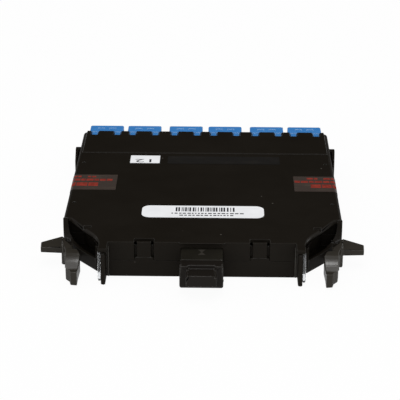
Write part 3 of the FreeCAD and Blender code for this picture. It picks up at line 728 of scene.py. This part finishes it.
@dataclass
class RoundedMoulding:
    """A moulding whose edges carry the small radius that a real tool leaves.

    It is the CAD node's own shape, with its coplanar triangles joined and each sharp edge rounded.

    Attributes:
        node: the CAD node that it stands for.
        body: the body that carries it.
        slot: the record's material slot; not used.
        stock: its finish.
        radius_mm: the width of the rounding.
        sharp_deg: an edge that turns by more than this is sharp.
        segments: faces across the rounding.
        outer_only: whether inner edges stay sharp.
        divided: whether faces of more than four corners are divided before the rounding, without which a rounded
            ring face can close its own hole.
        hollow: (Y, Z) points of a finger pad's saddle in millimetres, from front to rear.
        top_above_mm: points above this height belong to the pad's top.
    """

    node: str
    body: str
    slot: str
    stock: Stock
    radius_mm: float
    sharp_deg: float = 38.0
    segments: int = 2
    outer_only: bool = False
    divided: bool = True
    hollow: tuple[tuple[float, float], ...] = ()
    top_above_mm: float = 6.5

    def mark_edges(self, shape: bmesh.types.BMesh) -> None:
        """Choose the edges to round: every sharp one, or only those that stand out.

        An inner edge that isn't rounded stays sharp, so a part that moves close to it keeps its room.

        Args:
            shape: the moulding, changed in place.
        """
        weight = shape.edges.layers.float.new("bevel_weight_edge")
        for edge in shape.edges:
            if len(edge.link_faces) != 2:
                continue
            turn = edge.calc_face_angle_signed()
            if abs(turn) < math.radians(self.sharp_deg):
                continue
            if turn < 0.0 and self.outer_only:
                edge.smooth = False
            else:
                edge[weight] = 1.0

    def press_hollow(self, shape: bmesh.types.BMesh) -> None:
        """Give the top of a finger pad its long saddle.

        The mesh is cut across at every Y of the hollow, and each point of the top behind the first of them takes
        the hollow's height there.

        Args:
            shape: the moulding, changed in place.
        """
        along = np.array([y for y, _ in self.hollow]) * MM
        heights = np.array([z for _, z in self.hollow]) * MM
        for y in along:
            parts = shape.verts[:] + shape.edges[:] + shape.faces[:]
            bmesh.ops.bisect_plane(shape, geom=parts, dist=1e-7, plane_co=(0.0, y, 0.0), plane_no=(0.0, 1.0, 0.0))
        for point in shape.verts:
            if point.co.y < along.max() - 0.01 * MM and point.co.z > self.top_above_mm * MM:
                point.co.z = float(np.interp(point.co.y, along[::-1], heights[::-1]))

    def build(self, frame: dict[str, Any]) -> bpy.types.Object:
        """Make the rounded moulding in place of its node.


        Returns:
            The piece.
        """
        mesh = frame["nodes"][self.node].data.copy()
        mesh.name = self.node + "_rounded"
        shape = bmesh.new()
        shape.from_mesh(mesh)
        bmesh.ops.remove_doubles(shape, verts=shape.verts, dist=WELD)
        bmesh.ops.dissolve_limit(
            shape, angle_limit=math.radians(0.2), use_dissolve_boundaries=False, verts=shape.verts, edges=shape.edges
        )
        if self.hollow:
            self.press_hollow(shape)
        if self.divided:
            bmesh.ops.triangulate(shape, faces=[face for face in shape.faces if len(face.verts) > 4])
        for face in shape.faces:
            face.smooth = True
        self.mark_edges(shape)
        shape.to_mesh(mesh)
        shape.free()
        piece = lay_piece(self.node + "_rounded", mesh, self.stock, self.body)
        bevel = piece.modifiers.new("tool_radius", "BEVEL")
        bevel.limit_method = "WEIGHT"
        bevel.width = self.radius_mm * MM
        bevel.segments = self.segments
        bevel.use_clamp_overlap = False
        bevel.miter_outer = "MITER_ARC"
        flat = piece.modifiers.new("flat_faces", "WEIGHTED_NORMAL")
        flat.mode = "FACE_AREA"
        flat.weight = 100
        flat.keep_sharp = True
        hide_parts(self.node)
        return piece


@dataclass
class LongLabel:
    """The long white label: a field of plain uneven bars over two thin broken lines."""

    bar_x: tuple[float, float] = (-9.6, 11.0)
    bar_y: tuple[float, float] = (-28.0, -24.2)
    line_rows: tuple[float, ...] = (-29.7, -31.5)
    step_mm: float = 0.3
    lift_mm: float = 0.008

    def build(self) -> None:
        """Print the bars and the lines on the label.

        Bars stand on a regular pitch, each one to three steps wide, from a seeded draw.
        """
        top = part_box("barcode_label")[1].z + self.lift_mm * MM
        draw = np.random.default_rng(12)
        grids = []
        across = self.bar_x[0]
        while across < self.bar_x[1]:
            wide = self.step_mm * float(draw.integers(1, 3))
            grids.append(flat_patch(across, across + wide, self.bar_y[0], self.bar_y[1], top))
            across += wide + self.step_mm * float(draw.integers(1, 3))
        for row, (first, last) in zip(self.line_rows, ((-11.0, 14.0), (-8.2, 9.6))):
            across = first
            while across < last:
                long = float(draw.uniform(0.5, 1.4))
                grids.append(flat_patch(across, across + long, row - 0.42, row + 0.42, top))
                across += long + float(draw.uniform(0.3, 0.55))
        mesh = join_grids("long_label_print", grids)
        lay_piece("long_label_print", mesh, Stock.INK_BLACK, "cassette")


def flat_patch(left: float, right: float, rear: float, front: float, height_m: float) -> np.ndarray:
    """A flat four-cornered patch that faces up.

    Args:
        left: lowest X in millimetres.
        right: highest X in millimetres.
        rear: lowest Y in millimetres.
        front: highest Y in millimetres.
        height_m: its Z in metres.

    Returns:
        A 2 by 2 grid of points in metres.
    """
    x, y = np.meshgrid([left * MM, right * MM], [rear * MM, front * MM], indexing="ij")
    return np.stack([x, y, np.full_like(x, height_m)], axis=-1)


@dataclass
class PortNumber:
    """The small white label's plain number, read from the LC end."""

    number: str = "12"
    high_mm: float = 3.4
    lift_mm: float = 0.008

    def build(self) -> None:
        """Print the number near the label's rear edge, turned half round."""
        low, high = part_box("port_label")
        text = bpy.data.curves.new("port_number", "FONT")
        text.body = self.number
        text.size = self.high_mm * MM / 0.72
        text.align_x = "CENTER"
        text.resolution_u = 6
        carrier = bpy.data.objects.new("port_number_text", text)
        bpy.context.scene.collection.objects.link(carrier)
        bpy.context.view_layer.update()
        mesh = bpy.data.meshes.new_from_object(carrier)
        bpy.data.objects.remove(carrier)
        mesh.name = "port_number"
        middle = Vector(((low.x + high.x) / 2, low.y + (self.high_mm + 0.6) * MM, high.z + self.lift_mm * MM))
        wide = Matrix.Diagonal((1.7, 1.0, 1.0, 1.0))
        mesh.transform(Matrix.Translation(middle) @ Matrix.Rotation(math.pi, 4, "Z") @ wide)
        lay_piece("port_number", mesh, Stock.INK_BLACK, "cassette")


@dataclass
class SealPrint:
    """Rows of plain red dashes on a seal tape, which follow it over the housing's rounded edge and down the side.

    A row is (first place, last place, lowest Y, highest Y). Places run outwards from the start of the bend.
    """

    node: str
    side: int
    rows: Sequence[tuple[float, float, float, float]]
    seed: int
    round_mm: float = 1.5
    lift_mm: float = 0.01

    def dash(self, start: float, stop: float, rear: float, front: float) -> np.ndarray:
        """One dash on the tape.

        A point at distance s from the bend's start is flat on top where s < 0, on a quarter circle where
        0 < s < pi r / 2, and on the side below that.

        Args:
            start: its inner end, in millimetres out from the start of the bend.
            stop: its outer end.
            rear: its lowest Y in millimetres.
            front: its highest Y in millimetres.

        Returns:
            A 9 by 2 grid of points in metres.
        """
        low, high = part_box(self.node)
        outer = (high.x if self.side > 0 else -low.x) + self.lift_mm * MM
        top = high.z + self.lift_mm * MM
        radius = (self.round_mm + self.lift_mm) * MM
        s = np.linspace(start * MM, stop * MM, 9)
        angle = np.clip(s / radius, 0.0, math.pi / 2)
        flat = np.minimum(s, 0.0)
        down = np.maximum(s - radius * math.pi / 2, 0.0)
        x = self.side * (outer - radius + flat + radius * np.sin(angle))
        z = top - radius + radius * np.cos(angle) - down
        y = np.array([rear * MM, front * MM])
        grid = np.stack(np.broadcast_arrays(x[:, None], y[None, :], z[:, None]), axis=-1)
        return grid if self.side > 0 else grid[::-1]

    def build(self) -> None:
        """Lay every row's dashes on the tape, each of a length from a seeded draw."""
        draw = np.random.default_rng(self.seed)
        grids = []
        for first, last, rear, front in self.rows:
            here = first
            while here < last:
                long = float(draw.uniform(0.7, 1.5)) * (front - rear)
                grids.append(self.dash(here, min(here + long, last), rear, front))
                here += long + 0.35
        mesh = join_grids(self.node + "_dashes", grids)
        lay_piece(self.node + "_dashes", mesh, Stock.INK_RED, "cassette")


@dataclass
class ClearBumper:
    """A narrow clear strip stuck on the outer face of a fin, where the finger pad comes towards it.

    Its section is a rounded rectangle, a superellipse of power 4, which shrinks towards both ends.
    """

    side: int
    inner_mm: float = 33.72
    outer_mm: float = 34.86
    rear_mm: float = -60.2
    front_mm: float = -57.2
    foot_mm: float = 0.1

    def build(self) -> None:
        """Loft the strip from its foot to just under the cover."""
        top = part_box("top_cover")[1].z / MM - 1.7
        turn = np.linspace(0.0, 2 * math.pi, 25)
        around = np.sign(np.cos(turn)) * np.abs(np.cos(turn)) ** 0.5
        along = np.sign(np.sin(turn)) * np.abs(np.sin(turn)) ** 0.5
        climb = np.linspace(-1.0, 1.0, 33)
        full = (1.0 - climb**12) ** 0.5
        half_x = (self.outer_mm - self.inner_mm) / 2
        half_y = (self.front_mm - self.rear_mm) / 2
        x = self.side * (self.inner_mm + half_x * (1.0 + full[:, None] * around[None, :]))
        y = self.rear_mm + half_y * (1.0 + full[:, None] * along[None, :])
        z = (self.foot_mm + top) / 2 + (top - self.foot_mm) / 2 * climb[:, None]
        grid = np.stack(np.broadcast_arrays(x, y, z), axis=-1) * MM
        name = "clear_bumper_left" if self.side < 0 else "clear_bumper_right"
        mesh = join_grids(name, [grid if self.side < 0 else grid[::-1]])
        close_shape(mesh, smooth=True)
        lay_piece(name, mesh, Stock.BUMPER, "cassette")


@dataclass
class CornerBead:
    """The moulding between the rear wall and a fin: a vertical bead at the wall's end, and a web behind it, coloured
    paler as a painted highlight.
    """

    side: int
    wall_mm: float = 31.28
    fin_mm: float = 32.22
    rear_mm: float = -54.85
    inner_mm: float = -53.7
    radius_mm: float = 0.3
    foot_mm: float = 0.06
    head_mm: float = 11.14

    def build(self) -> None:
        """Extrude the section upwards and close both ends."""
        turn = np.linspace(math.pi, 2 * math.pi, 9)
        x = self.wall_mm + self.radius_mm * (1.0 + np.cos(turn))
        y = self.rear_mm + self.radius_mm * np.sin(turn)
        x = self.side * np.concatenate([x, [self.fin_mm, self.fin_mm, self.wall_mm, self.wall_mm]])
        y = np.concatenate([y, [self.rear_mm, self.inner_mm, self.inner_mm, self.rear_mm]])
        z = np.array([self.foot_mm, self.head_mm])
        grid = np.stack(np.broadcast_arrays(x[:, None], y[:, None], z[None, :]), axis=-1) * MM
        name = "corner_bead_left" if self.side < 0 else "corner_bead_right"
        mesh = join_grids(name, [grid])
        close_shape(mesh, smooth=False)
        # the paler finish is a painted highlight along the bead and its web
        lay_piece(name, mesh, Stock.MARK, "cassette")


@dataclass
class HourglassGlint:
    """A small hourglass left proud on top of the MPO adapter, in a paler colour that is a painted glint: two flat
    wedges that meet at their tips.
    """

    half_mm: float = 1.3
    tip_mm: float = 0.15
    long_mm: float = 2.2
    middle_y_mm: float = -58.2
    rise_mm: float = 0.05

    def build(self, frame: dict[str, Any]) -> None:
        """Lay the two wedges on the adapter's top.

        The top's height is that of the highest point of the adapter's rear end.
        """
        mesh = frame["nodes"]["mpo_adapter"].data
        points = np.empty(len(mesh.vertices) * 3)
        mesh.vertices.foreach_get("co", points)
        points = points.reshape(-1, 3)
        rear_end = points[:, 1] < points[:, 1].min() + 0.1 * MM
        height = points[rear_end, 2].max() + self.rise_mm * MM
        grids = []
        for way in (-1, 1):
            y = (self.middle_y_mm + way * np.array([self.long_mm, 0.0])) * MM
            x = np.array([[-self.half_mm, self.half_mm], [-self.tip_mm, self.tip_mm]]) * MM
            grid = np.stack(np.broadcast_arrays(x, y[:, None], height), axis=-1)
            grids.append(grid if way > 0 else grid[:, ::-1])
        # the hourglass's paler colour is a painted glint
        lay_piece("hourglass_glint", join_grids("hourglass_glint", grids), Stock.MARK, "cassette")


# ---------------------------------------------------------------- studio


@dataclass(frozen=True)
class Lamp:
    """A square soft lamp that looks at the cassette.

    Attributes:
        name: the lamp's name.
        place: where it stands, in metres.
        size: its side in metres.
        watts: its power.
    """

    name: str
    place: tuple[float, float, float]
    size: float
    watts: float

    def build(self) -> None:
        """Hang the lamp."""
        light = bpy.data.lights.new(self.name, "AREA")
        light.size = self.size
        light.energy = self.watts
        lamp = bpy.data.objects.new(self.name, light)
        bpy.context.scene.collection.objects.link(lamp)
        lamp.location = self.place
        lamp.rotation_euler = (-Vector(self.place)).to_track_quat("-Z", "Y").to_euler()


LAMPS = (
    Lamp("key", (-0.1, -0.4, 0.9), 0.3, 1.4),
    Lamp("top", (0.05, 0.12, 1.0), 0.25, 1.3),
    Lamp("left", (-0.85, -0.55, 0.35), 0.2, 0.8),
    Lamp("right", (0.85, -0.5, 0.35), 0.2, 0.8),
    Lamp("fill", (0.0, -1.0, 0.3), 0.5, 1.2),
)


@dataclass
class Studio:
    """A pale floor, soft lamps and the camera.

    Attributes:
        floor_half: half the floor's side in metres.
        floor_white: share of plain white in the floor where the camera or a gloss sees it.
        world_level: the world's level for all light but that.
        camera_place: where the camera stands, in metres.
        camera_turn: its yaw, pitch and roll in radians.
        lens_mm: its focal length on a sensor 36 mm wide.
    """

    floor_half: float = 3.0
    floor_white: float = 0.95
    world_level: float = 0.62
    camera_place: tuple[float, float, float] = (0.00526, -0.54776, 0.22717)
    camera_turn: tuple[float, float, float] = (-0.01214, 0.38397, -0.00477)
    lens_mm: float = 144.2

    def build_world(self) -> None:
        """White where the camera or a gloss sees it, and a plain soft level for all other light."""
        world = bpy.data.worlds.new("studio")
        bpy.context.scene.world = world
        world.use_nodes = True
        tree = world.node_tree
        tree.nodes.clear()
        rays = add_node(tree, "ShaderNodeLightPath", {})
        direct = add_node(
            tree,
            "ShaderNodeMath",
            {0: rays.outputs["Is Camera Ray"], 1: rays.outputs["Is Transmission Ray"]},
            operation="MAXIMUM",
        )
        seen = add_node(
            tree, "ShaderNodeMath", {0: direct.outputs[0], 1: rays.outputs["Is Glossy Ray"]}, operation="MAXIMUM"
        )
        level = add_node(
            tree,
            "ShaderNodeMapRange",
            {"Value": seen.outputs[0], "To Min": self.world_level, "To Max": 1.0},
        )
        sky = add_node(
            tree, "ShaderNodeBackground", {"Color": (1.0, 1.0, 1.0, 1.0), "Strength": level.outputs["Result"]}
        )
        add_node(tree, "ShaderNodeOutputWorld", {"Surface": sky.outputs[0]})

    def build_floor(self) -> None:
        """A white floor just under the cassette that keeps a faint shadow."""
        half = self.floor_half
        mesh = join_grids("floor", [flat_patch(-half / MM, half / MM, -half / MM, half / MM, -0.02 * MM)])
        floor = bpy.data.objects.new("floor", mesh)
        bpy.context.scene.collection.objects.link(floor)
        material, tree, _ = new_tree("white_floor")
        rays = add_node(tree, "ShaderNodeLightPath", {})
        seen = add_node(
            tree,
            "ShaderNodeMath",
            {0: rays.outputs["Is Camera Ray"], 1: rays.outputs["Is Glossy Ray"]},
            operation="MAXIMUM",
        )
        share = add_node(tree, "ShaderNodeMath", {0: seen.outputs[0], 1: self.floor_white}, operation="MULTIPLY")
        lit = add_node(tree, "ShaderNodeBsdfDiffuse", {"Color": linear("F4F4F4")})
        white = add_node(tree, "ShaderNodeEmission", {"Color": (1.0, 1.0, 1.0, 1.0), "Strength": 1.0})
        both = add_node(
            tree, "ShaderNodeMixShader", {0: share.outputs[0], 1: lit.outputs[0], 2: white.outputs[0]}
        )
        close_tree(tree, both.outputs[0])
        mesh.materials.append(material)

    def build_camera(self) -> None:
        """The camera: far behind the MPO end, 22 degrees above it, with a long lens."""
        yaw, pitch, roll = self.camera_turn
        ahead = Vector(
            (math.sin(yaw) * math.cos(pitch), math.cos(yaw) * math.cos(pitch), -math.sin(pitch))
        )
        right = Vector((math.cos(yaw), -math.sin(yaw), 0.0))
        up = right.cross(ahead)
        turned_right = right * math.cos(roll) - up * math.sin(roll)
        turned_up = right * math.sin(roll) + up * math.cos(roll)
        camera = bpy.data.cameras.new("view")
        camera.sensor_width = 36.0
        camera.lens = self.lens_mm
        camera.clip_start = 0.05
        camera.clip_end = 20.0
        eye = bpy.data.objects.new("view", camera)
        bpy.context.scene.collection.objects.link(eye)
        turn = Matrix((turned_right, turned_up, -ahead)).transposed().to_4x4()
        eye.matrix_world = Matrix.Translation(self.camera_place) @ turn
        bpy.context.scene.camera = eye

    def build(self) -> None:
        """Set up the whole studio."""
        bpy.context.scene.view_settings.view_transform = "Standard"
        self.build_world()
        self.build_floor()
        for lamp in LAMPS:
            lamp.build()
        self.build_camera()


# ---------------------------------------------------------------- the cassette

PAD_SADDLE = (
    (-52.5, 8.0),
    (-53.6, 7.8),
    (-54.7, 7.2),
    (-55.8, 6.5),
    (-56.9, 5.9),
    (-58.0, 5.45),
    (-59.1, 5.2),
    (-60.2, 5.1),
    (-61.4, 5.15),
    (-62.6, 5.3),
    (-63.8, 5.55),
    (-65.2, 5.9),
)  # (Y, Z) of the finger pads' top in millimetres

SEAL_PRINTS = (
    SealPrint(
        "seal_tape_left",
        -1,
        ((-1.8, 1.6, 4.2, 5.8), (-7.2, -3.8, 4.2, 5.6), (-13.4, 1.6, 0.8, 2.8), (-8.4, 1.8, -4.4, -1.0)),
        3,
    ),
    SealPrint(
        "seal_tape_right",
        1,
        ((-9.2, -5.2, 4.0, 5.6), (-3.0, 1.4, 4.0, 5.6), (-13.8, 1.6, 0.6, 2.6), (-8.0, 1.8, -4.4, -1.0)),
        4,
    ),
)


@dataclass
class Cassette:
    """All the pieces, each in its finish."""

    frame: dict[str, Any]

    def node_stocks(self) -> dict[str, Stock]:
        """The finish of every CAD node that keeps its own mesh.

        Returns:
            Each node's name with its finish.
        """
        stocks = {
            "mpo_plug_housing": Stock.PLUG,
            "mpo_ferrule": Stock.FERRULE,
            "mpo_boot": Stock.BOOT,
            "fibre_fanout": Stock.FANOUT,
            "lever_springs": Stock.STEEL,
            "barcode_label": Stock.PAPER,
            "port_label": Stock.PAPER,
            "clear_strip": Stock.CLEAR,
            "seal_tape_left": Stock.SEAL,
            "seal_tape_right": Stock.SEAL,
        }
        for number in range(1, 7):
            stocks["lc_shutter_%d" % number] = Stock.SHUTTER
            stocks["alignment_sleeves_%d" % number] = Stock.CERAMIC
        for number in range(1, 13):
            stocks["lc_plug_%d" % number] = Stock.PLUG
            stocks["fibre_tube_%d" % number] = Stock.TUBE
        return stocks

    def dress_nodes(self) -> None:
        """Give each kept CAD node its finish."""
        for name, stock in self.node_stocks().items():
            node = self.frame["nodes"][name]
            if not node.material_slots:
                node.data.materials.append(stock.material())
            for slot in node.material_slots:
                slot.material = stock.material()

    def mouldings(self) -> list[RoundedMoulding]:
        """The visible mouldings whose edges are rounded.

        Returns:
            The mouldings, in the order in which they are built.
        """
        shapes = [
            RoundedMoulding("base_housing", "cassette", "housing_black", Stock.HOUSING, 0.24),
            RoundedMoulding("top_cover", "cassette", "housing_black", Stock.HOUSING, 0.24, divided=False),
            RoundedMoulding("mpo_adapter", "cassette", "housing_black", Stock.MPO, 0.14),
            RoundedMoulding("mpo_dust_cap", "mpo_cap", "cap_black", Stock.CAP, 0.3),
            RoundedMoulding("left_latch_lever", "left_lever", "lever_grey", Stock.LEVER, 0.3, hollow=PAD_SADDLE),
            RoundedMoulding("right_latch_lever", "right_lever", "lever_grey", Stock.LEVER, 0.3, hollow=PAD_SADDLE),
        ]
        for number in range(1, 7):
            shapes.append(
                RoundedMoulding(
                    "lc_adapter_%d" % number, "cassette", "adapter_blue", Stock.ADAPTER, 0.18, outer_only=True
                )
            )
        return shapes

    def build(self) -> None:
        """Build every piece in order."""
        self.dress_nodes()
        for moulding in self.mouldings():
            moulding.build(self.frame)
        LongLabel().build()
        PortNumber().build()
        HourglassGlint().build(self.frame)
        for side in (-1, 1):
            ClearBumper(side).build()
            CornerBead(side).build()
        for dashes in SEAL_PRINTS:
            dashes.build()


def main() -> None:
    """Build the dressed cassette in its studio."""
    logging.basicConfig(level=logging.INFO, format="%(name)s %(message)s")
    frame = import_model()
    Studio().build()
    Cassette(frame).build()


if __name__ == "__main__":
    main()
